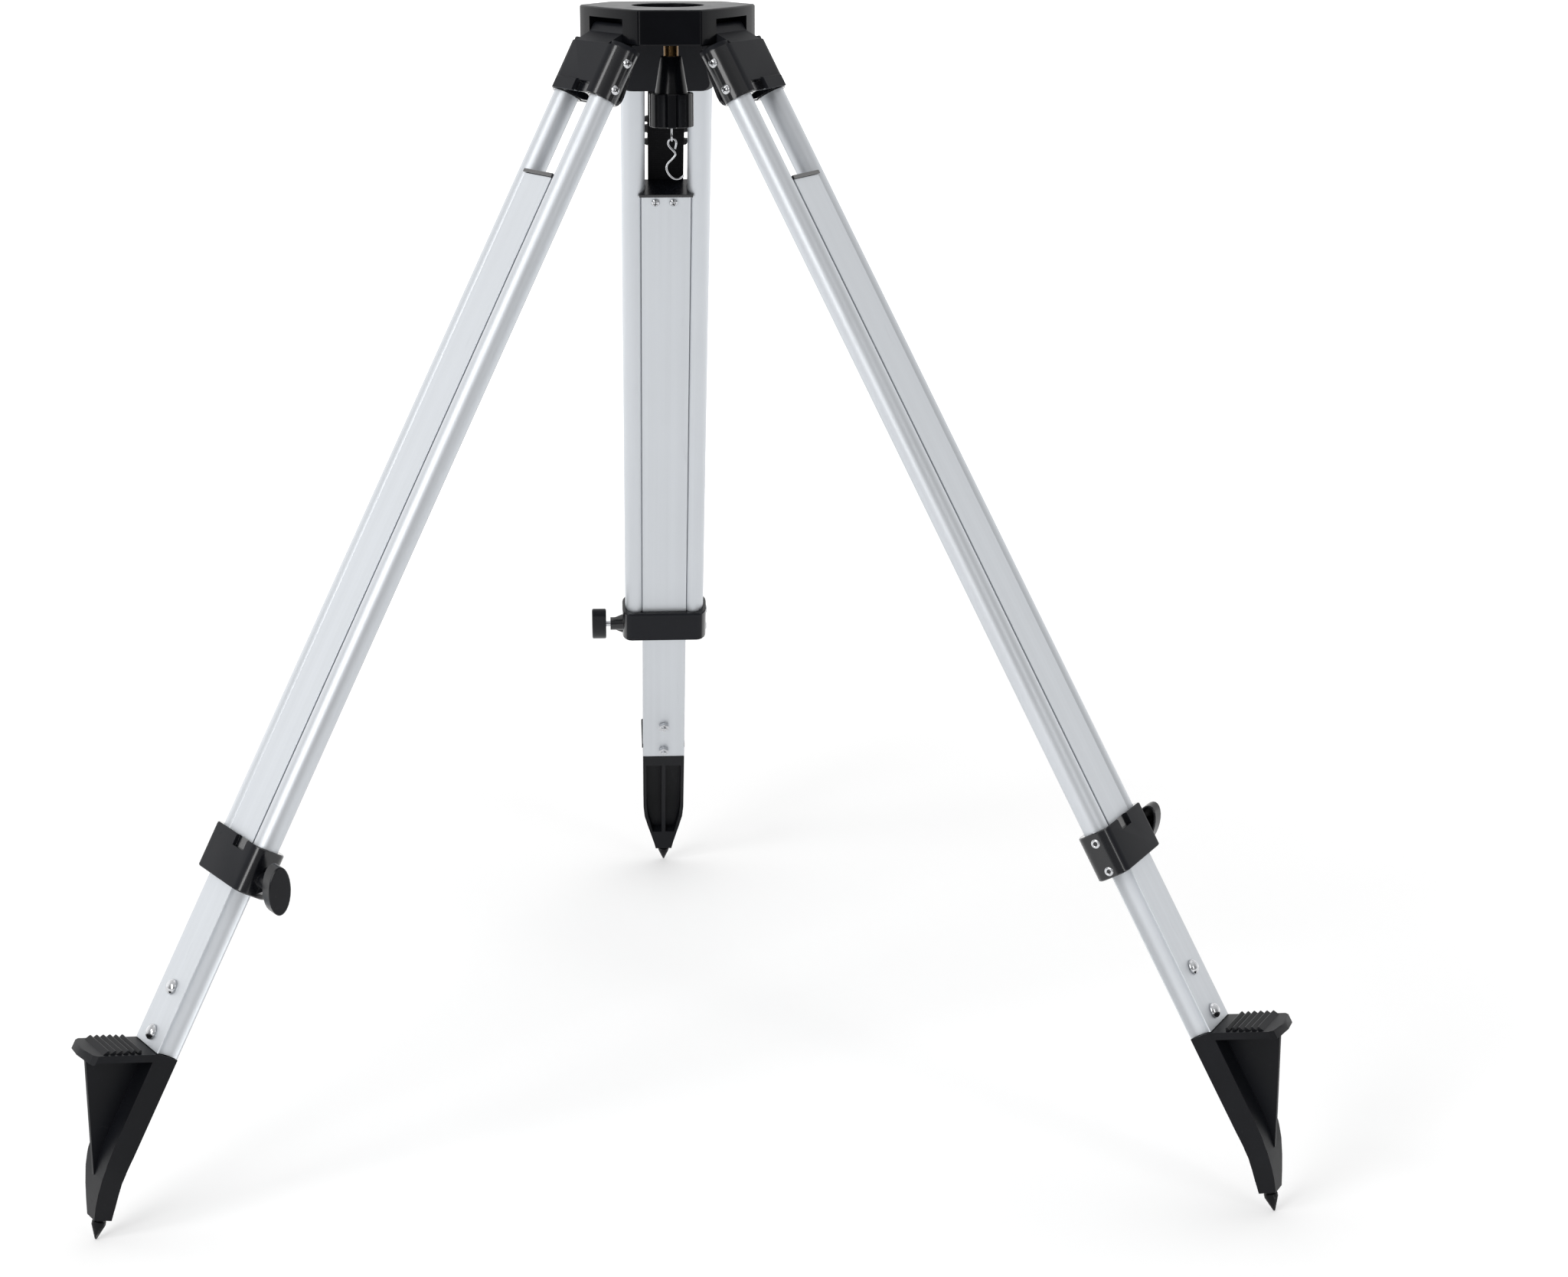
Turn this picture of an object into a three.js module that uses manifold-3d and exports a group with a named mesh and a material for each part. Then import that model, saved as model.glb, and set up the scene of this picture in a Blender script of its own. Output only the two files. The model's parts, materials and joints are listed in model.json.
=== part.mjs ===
// Surveyor tripod: a flat head on three two-stage aluminium legs, with a centre screw held in a
// swinging arm under the head. Units are millimetres, +Z is up and the spike tips stand on z = 0.
//
// Leg frame used below: x runs across the leg, y points away from the leg's outer face, and z runs
// down the leg from its hinge pin.
import * as THREE from 'three';
import { mergeVertices } from 'three/addons/utils/BufferGeometryUtils.js';
import Module from 'manifold-3d';

const wasm = await Module();
wasm.setup();

// ---- driving dimensions -------------------------------------------------------------------
const GAP = 0.3; // clearance between neighbouring parts
const HEAD = { shortSide: 53, longSide: 100, bulge: 4, top: 1010, thick: 29.9, hole: 31.7, chamfer: 1.2 };
const PLATE = 8.5; // solid plate above the leg pockets
const POCKET = { half: 28, back: 44.8, out: 75 };
const RECESS = { radius: 40.5, top: 992.4, lobe: 17, lobeAt: 50 };
const HINGE = { radius: 54, z: 990.3, pin: 3.4, pinHalf: 36, eye: 6.4, tongueHalf: 27.4 };
const TUBE = { radius: 11, bore: 9.6, spacing: 61, from: 17, to: 791 };
const HOUSING = { top: 18, bottom: 62.3, outer: 15.2, half: 31, sleeve: 13.3, sleeveTop: 14.2, sleeveEnd: 63.4 };
const SKIRT = { top: 11, bottom: 62.9, topHalf: 30, half: 40.5, inner: -14.4, outer: -11.6, corner: 8 };
const LIP = { from: 53.4, height: 17.2, end: 5, far: 28.6 };
const COLLAR = { from: 756, to: 797, half: 44.6, thick: 15.6, corner: 10 };
const CLAMP = { at: 781, behind: -3.8, boss: 7, bossEnd: 57.5, screw: 3, knobFrom: 62, knobTo: 77, long: 42.4, wide: 20 };
const PROFILE = { half: 23, thick: 10, cavityHalf: 16.6, cavityThick: 8.2, from: 141, to: 950 };
const CAP = { top: 137.4, half: 25, thick: 11.4, plug: 13 };
const BOLTS = [896.7, 938.2];
const SHOE = { top: 950.4, plugTop: 884, half: 23 };
const PEDAL = { half: 24, end: 66, tooth: 3.2 };
const TIP = { along: 1119.4, inward: -21.6, radius: 1.4 };
const SPIKE = { base: 6, length: 15.4, shank: 4, shankLength: 12, tilt: 0.26 };
const SCREW = { x: 2.4, radius: 7.9, top: 1005, coneTop: 966.6, neck: 6.6, coneBottom: 935.6, gripBottom: 905.8 };
const ARM = { bottom: 984.2, thick: 4, half: 13.5, slot: 9.6, reach: 20, slotBack: 20, bearing: 150, pivotAt: 50 };
const STRAP = { half: 16.5, inner: 12.3, outer: 13.7, from: 48, to: 430 };
const BUCKLE = { half: 20, waist: 16.9, inner: 14.1, outer: 17.3, from: 114, to: 146.6 };
const BUCKLE_NOTCHES = [[119.4, 124.4], [131.6, 140.4]];
const LEGS = [
  { name: 'rear', bearing: 90, extension: 47, lipSide: -1, notchAt: 14, knobTurn: 0, strap: true },
  { name: 'left', bearing: 210, extension: 0, lipSide: -1, notchAt: 14, knobTurn: 27, strap: false },
  { name: 'right', bearing: 330, extension: 4, lipSide: 1, notchAt: -5, knobTurn: 46, strap: false },
];
const ROUND = 26; // facets on a full circle

const COLOURS = {
  aluminium: [0xcfd5da, 0.9, 0.35],
  plastic: [0x17181b, 0, 0.4],
  black_metal: [0x202227, 0.2, 0.45],
  steel: [0xc8cacc, 1, 0.25],
  brass: [0xb08a45, 1, 0.35],
  webbing: [0x101113, 0, 0.9],
};

// ---- solid helpers --------------------------------------------------------------------------
function solid(geometry) {
  geometry.deleteAttribute('normal');
  geometry.deleteAttribute('uv');
  const merged = mergeVertices(geometry, 1e-4);
  const mesh = new wasm.Mesh({
    numProp: 3,
    vertProperties: new Float32Array(merged.attributes.position.array),
    triVerts: new Uint32Array(merged.index.array),
  });
  return new wasm.Manifold(mesh);
}

function geometryOf(shape) {
  const mesh = shape.getMesh();
  const geometry = new THREE.BufferGeometry();
  geometry.setAttribute('position', new THREE.BufferAttribute(new Float32Array(mesh.vertProperties), 3));
  geometry.setIndex(new THREE.BufferAttribute(new Uint32Array(mesh.triVerts), 1));
  geometry.computeVertexNormals();
  return geometry;
}

function extruded(points, from, to, chamfer = 0) {
  const shape = new THREE.Shape(points.map(([x, y]) => new THREE.Vector2(x, y)));
  const options = { depth: to - from - 2 * chamfer, bevelEnabled: chamfer > 0, bevelSegments: 1 };
  Object.assign(options, { bevelThickness: chamfer, bevelSize: chamfer, bevelOffset: -chamfer });
  return new THREE.ExtrudeGeometry(shape, options).translate(0, 0, from + chamfer);
}

// Prisms along each axis. The outline is given in (x, y), in (y, z) or in (z, x).
function alongZ(points, from, to, chamfer = 0) {
  return solid(extruded(points, from, to, chamfer));
}

function alongX(points, from, to, chamfer = 0) {
  const turn = new THREE.Matrix4().set(0, 0, 1, 0, 1, 0, 0, 0, 0, 1, 0, 0, 0, 0, 0, 1);
  return solid(extruded(points, from, to, chamfer).applyMatrix4(turn));
}

function alongY(points, from, to, chamfer = 0) {
  const turn = new THREE.Matrix4().set(0, 1, 0, 0, 0, 0, 1, 0, 1, 0, 0, 0, 0, 0, 0, 1);
  return solid(extruded(points, from, to, chamfer).applyMatrix4(turn));
}

function box(x0, x1, y0, y1, z0, z1) {
  const geometry = new THREE.BoxGeometry(x1 - x0, y1 - y0, z1 - z0);
  return solid(geometry.translate((x0 + x1) / 2, (y0 + y1) / 2, (z0 + z1) / 2));
}

function circle(radius, cx = 0, cy = 0, facets = ROUND) {
  const step = (2 * Math.PI) / facets;
  return Array.from({ length: facets }, (_, i) => [
    cx + radius * Math.cos((i + 0.5) * step),
    cy + radius * Math.sin((i + 0.5) * step),
  ]);
}

function turned(profile, facets = ROUND) {
  const points = profile.map(([radius, height]) => new THREE.Vector2(radius, height));
  return new THREE.LatheGeometry(points, facets).rotateX(Math.PI / 2);
}

// Polygon with every corner rounded by its own radius.
function rounded(points, radius, steps = 3) {
  const result = [];
  points.forEach((corner, index) => {
    const size = Array.isArray(radius) ? radius[index] : radius;
    if (!size) {
      result.push(corner);
      return;
    }
    const at = new THREE.Vector2(...corner);
    const before = new THREE.Vector2(...points.at(index - 1)).sub(at).normalize();
    const after = new THREE.Vector2(...points[(index + 1) % points.length]).sub(at).normalize();
    const half = Math.acos(THREE.MathUtils.clamp(before.dot(after), -1, 1)) / 2;
    const start = at.clone().addScaledVector(before, size / Math.tan(half));
    const end = at.clone().addScaledVector(after, size / Math.tan(half));
    const middle = before.clone().add(after).normalize().multiplyScalar(size / Math.sin(half)).add(at);
    const from = Math.atan2(start.y - middle.y, start.x - middle.x);
    let sweep = Math.atan2(end.y - middle.y, end.x - middle.x) - from;
    sweep -= 2 * Math.PI * Math.round(sweep / (2 * Math.PI));
    for (let step = 0; step <= steps; step += 1) {
      const angle = from + (sweep * step) / steps;
      result.push([middle.x + size * Math.cos(angle), middle.y + size * Math.sin(angle)]);
    }
  });
  return result;
}

const rectangle = (x0, x1, y0, y1) => [[x0, y0], [x1, y0], [x1, y1], [x0, y1]];
const polar = (radius, degrees) => {
  const angle = THREE.MathUtils.degToRad(degrees);
  return [radius * Math.cos(angle), radius * Math.sin(angle)];
};

// ---- assembling -------------------------------------------------------------------------------
const tripod = new THREE.Group();
tripod.name = 'surveyor_tripod';

function addPart(name, shape, colour, placing = null) {
  const geometry = shape.isBufferGeometry ? shape : geometryOf(shape);
  if (placing) {
    geometry.applyMatrix4(placing);
  }
  const [color, metalness, roughness] = COLOURS[colour];
  const material = new THREE.MeshStandardMaterial({ color, metalness, roughness });
  material.name = colour;
  const mesh = new THREE.Mesh(geometry, material);
  mesh.name = name;
  tripod.add(mesh);
}

// The spread that puts the spike of a leg of this length on the ground.
function spreadOf(extension) {
  const along = TIP.along + extension;
  const reach = Math.hypot(along, TIP.inward);
  return Math.acos((HINGE.z - TIP.radius) / reach) + Math.atan2(-TIP.inward, along);
}

function legPlacing({ bearing, extension }) {
  const azimuth = THREE.MathUtils.degToRad(bearing);
  const spread = spreadOf(extension);
  const [c, s] = [Math.cos(azimuth), Math.sin(azimuth)];
  const across = new THREE.Vector3(-s, c, 0);
  const outward = new THREE.Vector3(Math.cos(spread) * c, Math.cos(spread) * s, Math.sin(spread));
  const down = new THREE.Vector3(Math.sin(spread) * c, Math.sin(spread) * s, -Math.cos(spread));
  const place = new THREE.Matrix4().makeBasis(across, outward, down);
  return place.setPosition(HINGE.radius * c, HINGE.radius * s, HINGE.z);
}

// ---- head ---------------------------------------------------------------------------------------
const headBottom = HEAD.top - HEAD.thick;

function headOutline() {
  const { shortSide, longSide, bulge } = HEAD;
  const shortFlat = (2 * longSide + shortSide) / (2 * Math.sqrt(3));
  const points = [];
  const radii = [];
  for (const bearing of [270, 30, 150]) {
    for (const side of [-1, 1]) {
      const [x, y] = polar(Math.hypot(shortFlat, shortSide / 2),
        bearing + side * THREE.MathUtils.radToDeg(Math.atan2(shortSide / 2, shortFlat)));
      points.push([x, y]);
      radii.push(4);
    }
    const [nx, ny] = polar(1, bearing + 60);
    const last = points.at(-1);
    for (let step = -3; step <= 3; step += 1) {
      const along = (step / 4) * (longSide / 2);
      const out = bulge * (1 - (step / 4) ** 2);
      const middle = [last[0] - ny * (longSide / 2), last[1] + nx * (longSide / 2)];
      points.push([middle[0] - ny * along + nx * out, middle[1] + nx * along + ny * out]);
      radii.push(0);
    }
  }
  return rounded(points, radii);
}

let head = alongZ(headOutline(), headBottom, HEAD.top, HEAD.chamfer);
head = head.subtract(alongZ(circle(HEAD.hole), headBottom - 1, HEAD.top + 1));
head = head.subtract(alongZ(circle(RECESS.radius), headBottom - 1, RECESS.top));
for (const bearing of [30, 150, 270]) {
  const lobe = rounded(rectangle(0, RECESS.lobeAt + RECESS.lobe, -RECESS.lobe, RECESS.lobe), [0, 16.9, 16.9, 0], 5);
  const turn = THREE.MathUtils.degToRad(bearing);
  head = head.subtract(solid(extruded(lobe, headBottom - 1, RECESS.top).rotateZ(turn)));
}
for (const leg of LEGS) {
  const { half, back, out } = POCKET;
  const turn = THREE.MathUtils.degToRad(leg.bearing);
  const pocket = new THREE.BoxGeometry(out - back, 2 * half, HEAD.thick);
  pocket.translate((back + out) / 2, 0, HEAD.top - PLATE - HEAD.thick / 2);
  head = head.subtract(solid(pocket.rotateZ(turn)));
  const bore = new THREE.CylinderGeometry(HINGE.pin + GAP, HINGE.pin + GAP, 2 * HINGE.pinHalf + 1, 24);
  head = head.subtract(solid(bore.translate(HINGE.radius, 0, HINGE.z).rotateZ(turn)));
  const pin = new THREE.CylinderGeometry(HINGE.pin, HINGE.pin, 2 * HINGE.pinHalf, 24);
  addPart(`hinge_pin_${leg.name}`, solid(pin.translate(HINGE.radius, 0, HINGE.z).rotateZ(turn)), 'steel');
}
const [pivotX, pivotY] = polar(ARM.pivotAt, ARM.bearing);
head = head.subtract(alongZ(circle(3 + GAP, pivotX, pivotY, 20), headBottom, 1001));
addPart('head_plate', head, 'black_metal');

// ---- swinging arm and centre screw --------------------------------------------------------------
const armTop = ARM.bottom + ARM.thick;
const armPivot = turned([[0, headBottom + 0.2], [5.2, headBottom + 0.2], [6, headBottom + 1], [6, ARM.bottom - GAP],
  [3, ARM.bottom - GAP], [3, 1000.6], [0, 1000.6]], 18).translate(pivotX, pivotY, 0);
addPart('arm_pivot_bolt', armPivot, 'steel');

const screwAngle = Math.atan2(-pivotY, SCREW.x - pivotX);
const screwReach = Math.hypot(SCREW.x - pivotX, pivotY);
const armOutline = rounded(rectangle(-ARM.half, ARM.pivotAt + ARM.reach + ARM.half, -ARM.half, ARM.half), 13.4, 5);
const slotFrom = ARM.pivotAt - ARM.slotBack - ARM.slot;
const slotTo = ARM.pivotAt + ARM.reach + ARM.slot;
const armSlot = rounded(rectangle(slotFrom, slotTo, -ARM.slot, ARM.slot), 9.5, 5);
let arm = alongZ(armOutline, ARM.bottom, armTop, 0.5);
arm = arm.subtract(alongZ(armSlot, ARM.bottom - 1, armTop + 1));
arm = arm.subtract(alongZ(circle(3 + GAP, 0, 0, 20), ARM.bottom - 1, armTop + 1));
const armPlace = new THREE.Matrix4().makeRotationZ(screwAngle).setPosition(pivotX, pivotY, 0);
addPart('screw_arm', arm, 'black_metal', armPlace);

const bushTop = armTop + 2.3;
const bushBottom = headBottom + 0.2;
const bush = turned([[SCREW.radius + GAP, bushBottom], [12.4, bushBottom], [12.4, ARM.bottom - GAP],
  [ARM.slot - GAP, ARM.bottom - GAP], [ARM.slot - GAP, armTop + GAP], [12.4, armTop + GAP], [12.4, bushTop],
  [SCREW.radius + GAP, bushTop], [SCREW.radius + GAP, bushBottom]]).translate(SCREW.x, 0, 0);
addPart('screw_bush', solid(bush), 'plastic');

// The stud carries thread ridges over its upper end.
const threadPitch = 2.31;
const studProfile = [[0, SCREW.coneTop - 16], [SCREW.radius - 1, SCREW.coneTop - 16], [SCREW.radius - 1, SCREW.coneTop]];
studProfile.push([SCREW.neck, SCREW.coneTop + 0.4], [SCREW.neck, bushBottom - 1.2], [SCREW.radius, bushBottom]);
studProfile.push([SCREW.radius, bushTop], [SCREW.radius - 1.2, bushTop]);
studProfile.push([SCREW.radius - 1.2, bushTop + 2.6], [SCREW.radius, bushTop + 2.6]);
for (let z = bushTop + 4.6; z < SCREW.top - threadPitch; z += threadPitch) {
  studProfile.push([SCREW.radius - 1.1, z], [SCREW.radius, z + threadPitch / 2]);
}
studProfile.push([SCREW.radius - 1.1, SCREW.top - 0.4], [SCREW.radius - 1.8, SCREW.top], [0, SCREW.top]);
addPart('centre_stud', turned(studProfile, 20).translate(SCREW.x, 0, 0), 'brass');
const ringBore = SCREW.radius - 1.2 + GAP;
const ring = turned([[ringBore, bushTop + GAP], [11, bushTop + GAP], [11, bushTop + 2.3], [ringBore, bushTop + 2.3],
  [ringBore, bushTop + GAP]], 20);
addPart('stud_ring', solid(ring.translate(SCREW.x, 0, 0)), 'steel');

// Knob: a smooth cone above a grip with finger flutes.
const gripTop = SCREW.coneBottom - 0.4;
let knob = solid(turned([[0, SCREW.gripBottom + 1.5], [14.4, SCREW.gripBottom + 1.5], [14.4, SCREW.coneBottom],
  [9.6, SCREW.coneTop - 1], [8.8, SCREW.coneTop], [0, SCREW.coneTop]]));
const fluteCount = 12;
const gripOutline = [];
for (let i = 0; i < fluteCount; i += 1) {
  const middle = (i * 360) / fluteCount;
  gripOutline.push(polar(19.2, middle - 10.5), polar(19.4, middle), polar(19.2, middle + 10.5), polar(17.6, middle + 15));
}
knob = knob.add(alongZ(gripOutline, SCREW.gripBottom, gripTop, 0.8));
knob = knob.subtract(alongZ(circle(SCREW.radius - 1 + GAP, 0, 0, 20), SCREW.coneTop - 16.4, SCREW.coneTop + 1));
knob = knob.subtract(alongZ(circle(1.3 + GAP, 0, 0, 16), SCREW.gripBottom - 1, SCREW.gripBottom + 14.3));
knob = knob.subtract(alongZ(circle(14.5), SCREW.gripBottom - 1, SCREW.gripBottom + 2.5));
addPart('screw_knob', knob.translate([SCREW.x, 0, 0]), 'plastic');

// Wire parts are one section swept along a centre line.
function wire(points, radius, closed = false, steps = 40) {
  const curve = new THREE.CatmullRomCurve3(points.map((p) => new THREE.Vector3(...p)), closed);
  const section = new THREE.Shape(circle(radius, 0, 0, 6).map(([x, y]) => new THREE.Vector2(x, y)));
  return new THREE.ExtrudeGeometry(section, { steps, bevelEnabled: false, extrudePath: curve });
}

const PIN_RING = { z: 896.1, radius: 2.6, wire: 0.75 };
let hookPin = alongZ(circle(0.85, 0, 0, 16), PIN_RING.z + PIN_RING.radius - 0.3, SCREW.gripBottom + 14);
const ringPoints = Array.from({ length: 12 }, (_, i) => {
  const [y, z] = polar(PIN_RING.radius, i * 30);
  return [0, y, PIN_RING.z + z];
});
hookPin = hookPin.add(solid(wire(ringPoints, PIN_RING.wire, true, 12)));
addPart('hook_pin', hookPin.translate([SCREW.x, 0, 0]), 'steel');

const HOOK = [[2.8, 886.3], [3.3, 888.7], [3.9, 892.1], [2.8, 894.5], [0.4, 895.6], [-2, 894.5], [-3.35, 892.1],
  [-2.8, 889.5], [-0.7, 886.8], [1.7, 884.4], [3.3, 882.1], [1.4, 879.1], [-1.2, 876.4], [-3.6, 874], [-4.8, 871.4],
  [-4.7, 868.4], [-3.35, 865.2], [-1.2, 862.6], [1.4, 860.7], [4.1, 860.2], [7.3, 861], [10.2, 863.4]];
addPart('s_hook', solid(wire(HOOK.map(([x, z]) => [x + SCREW.x, 0, z]), 0.85, false, 40)), 'steel');

// ---- legs ---------------------------------------------------------------------------------------
const tubeX = TUBE.spacing / 2;

function hingeHousing({ lipSide, strap }) {
  const { top, bottom, outer, half, sleeve, sleeveTop, sleeveEnd } = HOUSING;
  const inner = SKIRT.inner + 2.4;
  const side = tubeX + sleeve;
  const shell = [[-half, inner], [half, inner], [side, 0], [side, outer], [-side, outer], [-side, 0]];
  let part = alongZ(rounded(shell, [0, 0, 0, outer - 0.2, outer - 0.2, 0], 7), top, bottom);
  const tongue = [[HINGE.eye, 0], [HINGE.eye, 5], [outer, top], [outer, top + 8], [SKIRT.outer, top + 8], [SKIRT.outer, 12.4],
    [-HINGE.eye, 9.6], [-HINGE.eye, -1]];
  part = part.add(alongX(tongue, -HINGE.tongueHalf, HINGE.tongueHalf));
  part = part.add(alongX(circle(HINGE.eye), -HINGE.tongueHalf, HINGE.tongueHalf));
  for (const side of [-1, 1]) {
    part = part.add(alongZ(circle(sleeve, side * tubeX, 0), sleeveTop, sleeveEnd));
  }
  const skirtLine = [[SKIRT.top, -SKIRT.topHalf], [SKIRT.bottom, -SKIRT.half], [SKIRT.bottom, SKIRT.half],
    [SKIRT.top, SKIRT.topHalf]];
  const plate = rounded(skirtLine, [2, SKIRT.corner, SKIRT.corner, 2]);
  part = part.add(alongY(plate, SKIRT.inner, SKIRT.outer, 0.5));
  const lip = [[outer - 1, LIP.from - 1.4], [outer, LIP.from - 1.4], [LIP.height, LIP.from], [LIP.height, bottom + 1],
    [outer - 1, bottom + 1]];
  const [lipFrom, lipTo] = lipSide < 0 ? [-LIP.far, LIP.end] : [-LIP.end, LIP.far];
  part = part.add(alongX(lip, lipFrom, lipTo));
  const notch = rounded(rectangle(LIP.from, bottom + 4, LIP.end, 26.4), [2.5, 0, 0, 2.5]);
  const notchPoints = notch.map(([z, x]) => [z, -lipSide * x]);
  if (!strap) {
    part = part.subtract(alongY(lipSide < 0 ? notchPoints : notchPoints.reverse(), outer - 3.6, outer + 5));
  }
  part = part.subtract(box(-16.5, 16.5, -8.6, strap ? 10.4 : 11, 30, bottom + 8));
  for (const side of [-1, 1]) {
    part = part.subtract(alongZ(circle(TUBE.radius + GAP, side * tubeX, 0), TUBE.from - GAP, sleeveEnd + 4));
  }
  if (strap) {
    const { from, inner, outer: high } = STRAP;
    part = part.subtract(box(-STRAP.half - GAP, STRAP.half + GAP, inner - GAP, high + GAP, from - GAP, bottom + 4));
  }
  return part.subtract(alongX(circle(HINGE.pin + GAP, 0, 0, 24), -half - 5, half + 5));
}

// Open-sided section of the lower leg: its two edges follow the round tubes beside it.
function waisted(half, thick, clearance) {
  const radius = TUBE.radius + clearance;
  const edge = Math.asin(Math.min(1, Math.sqrt(radius ** 2 - (tubeX - half) ** 2) / radius));
  const points = [];
  for (const side of [1, -1]) {
    points.push([side * half, -side * thick]);
    for (let step = 0; step <= 6; step += 1) {
      const angle = -edge + (2 * edge * step) / 6;
      points.push([side * (tubeX - radius * Math.cos(angle)), side * radius * Math.sin(angle)]);
    }
    points.push([side * half, side * thick]);
  }
  return points;
}

function collar(notchAt) {
  const { from, to, half, thick } = COLLAR;
  let part = alongZ(rounded(rectangle(-half, half, -thick, thick), COLLAR.corner, 5), from, to, 1);
  part = part.add(alongX(circle(CLAMP.boss, CLAMP.behind, CLAMP.at, 18), half - 8, CLAMP.bossEnd));
  for (const side of [-1, 1]) {
    const edge = CLAMP.at + side * (CLAMP.boss - 0.8);
    const gusset = [[edge, half - 3], [CLAMP.at + side * 14.5, half - 3], [edge, CLAMP.bossEnd - 2]];
    part = part.add(alongY(side > 0 ? gusset : gusset.reverse(), CLAMP.behind - 1.7, CLAMP.behind + 1.7));
  }
  part = part.subtract(box(notchAt - 10.5, notchAt + 10.5, thick - 3, thick + 2, from - 2, from + 10));
  for (const side of [-1, 1]) {
    part = part.subtract(alongZ(circle(TUBE.radius + GAP, side * tubeX, 0), from - 2, TUBE.to + GAP));
  }
  part = part.subtract(alongZ(waisted(PROFILE.half + 0.4, PROFILE.thick + 0.4, -0.9), from - 2, to + 2));
  return part.subtract(alongX(circle(CLAMP.screw + GAP, CLAMP.behind, CLAMP.at, 14), half - 2.5, CLAMP.bossEnd + 2));
}

function clampKnob(turn) {
  const { at, behind, knobFrom, knobTo, long, wide } = CLAMP;
  const oval = (margin) => Array.from({ length: 28 }, (_, i) => {
    const angle = (i * Math.PI) / 14;
    return [(wide / 2 - margin) * Math.cos(angle), at + (long / 2 - margin) * Math.sin(angle)];
  });
  const outline = oval(0);
  const hollow = oval(2);
  let part = alongX(outline, knobFrom, knobTo, 1);
  part = part.subtract(alongX(hollow, knobFrom - 1, knobTo - 3.5));
  part = part.add(alongX(circle(5.9, 0, at, 16), knobFrom, knobTo - 3));
  part = part.subtract(alongX(circle(CLAMP.screw + GAP, 0, at, 14), knobFrom - 1, knobTo - 4));
  return part.translate([0, 0, -at]).rotate([turn, 0, 0]).translate([0, behind, at]);
}

function lowerProfile() {
  const { half, thick, from, to, cavityHalf, cavityThick } = PROFILE;
  let part = alongZ(waisted(half, thick, 0.7), from, to);
  part = part.subtract(box(-cavityHalf, cavityHalf, -cavityThick, cavityThick, from - 1, to + 1));
  for (const at of BOLTS) {
    part = part.subtract(alongY(circle(2.5 + GAP, at, 0, 12), -thick - 1, thick + 1));
  }
  return part;
}

function topCap() {
  const part = alongZ(waisted(CAP.half, CAP.thick, 0.45), CAP.top, PROFILE.from - GAP);
  const [x, y] = [PROFILE.cavityHalf - 0.4, PROFILE.cavityThick - 0.4];
  const plug = box(-x, x, -y, y, PROFILE.from - 1, PROFILE.from + CAP.plug);
  return part.add(plug);
}

function shoe() {
  const side = [[-10.6, SHOE.top], [10.3, SHOE.top], [10.3, 1036], [9, 1052], [6, 1066], [1.4, 1080], [-3.4, 1092],
    [-8.8, 1103.6], [-23.8, 1099.8], [-20.2, 1088], [-16, 1076], [-12.6, 1065], [-10.9, 1054], [-10.6, 1044]];
  const half = [[23, SHOE.top - 1], [22.8, 1040], [21.6, 1056], [18.6, 1068], [14.8, 1080], [11, 1092], [7.8, 1105]];
  const front = [...half.map(([x, z]) => [z, x]).reverse(), ...half.map(([x, z]) => [z, -x])];
  let part = alongX(side, -30, 30).intersect(alongY(front, -40, 30));
  const cellDepth = [[-40, 960], [4.5, 960], [4.5, 1042], [-1.5, 1062], [-6.4, 1079], [-40, 1079]];
  for (const sign of [-1, 1]) {
    const cell = [[966, 2.2], [966, 19.6], [1036, 19.4], [1056, 17.8], [1078, 12.4], [1078, 2.2]];
    const points = cell.map(([z, x]) => [z, sign * x]);
    const shaft = alongY(sign > 0 ? points : points.reverse(), -40, 20);
    part = part.subtract(shaft.intersect(alongX(cellDepth, -30, 30)));
  }
  const { half: wide, end, tooth } = PEDAL;
  const tread = [[9, SHOE.top], [end - 1.6, 968.4], [end + 1, 970.4], [end + 1, 975.6], [60, 975.6], [56.5, 972.2], [9, 957.4]];
  const plan = [[-wide, 8], [wide, 8], [wide, 59], [20.5, 62.5], [0, end], [-20.5, 62.5], [-wide, 59]];
  part = part.add(alongX(tread, -wide, wide).intersect(alongZ(plan, 900, 1000)));
  for (let step = 0; step < 4; step += 1) {
    const y = 33 + step * 5.5;
    const z = SHOE.top + ((y - 9) * 18) / (end - 10.6);
    part = part.add(alongX([[y, z + 0.6], [y + 0.9, z - tooth], [y + 1.9, z - tooth], [y + 5.2, z + 2]], 3 - wide, wide - 3));
  }
  part = part.add(alongX([[9, 955], [59, 972], [58, 976], [6, 1068]], -2, 2));
  const [x, y] = [PROFILE.cavityHalf - 0.4, PROFILE.cavityThick - 0.4];
  part = part.add(box(-x, x, -y, y, SHOE.plugTop, SHOE.top + 1));
  for (const at of BOLTS) {
    part = part.subtract(alongY(circle(2.5 + GAP, at, 0, 12), -12, 12));
  }
  return part.subtract(solid(spikeForm(GAP)));
}

// The spike leans back toward upright; its shank sits in a bore of the shoe.
function spikeForm(extra = 0) {
  const { base, length, shank, shankLength, tilt } = SPIKE;
  const tip = TIP.radius;
  const profile = extra
    ? [[0, -shankLength - 0.4], [shank + extra, -shankLength - 0.4], [shank + extra, -extra], [base + extra, -extra],
      [base + extra, 3], [0, 3]]
    : [[0, -shankLength], [shank, -shankLength], [shank, 0], [base, 0], [base, 3.5],
      [tip, length - 0.4], [tip * 0.72, length + 0.6], [0, length + tip]];
  const geometry = turned(profile, 16).rotateX(tilt);
  return geometry.translate(0, TIP.inward + length * Math.sin(tilt), TIP.along - length * Math.cos(tilt));
}

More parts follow.
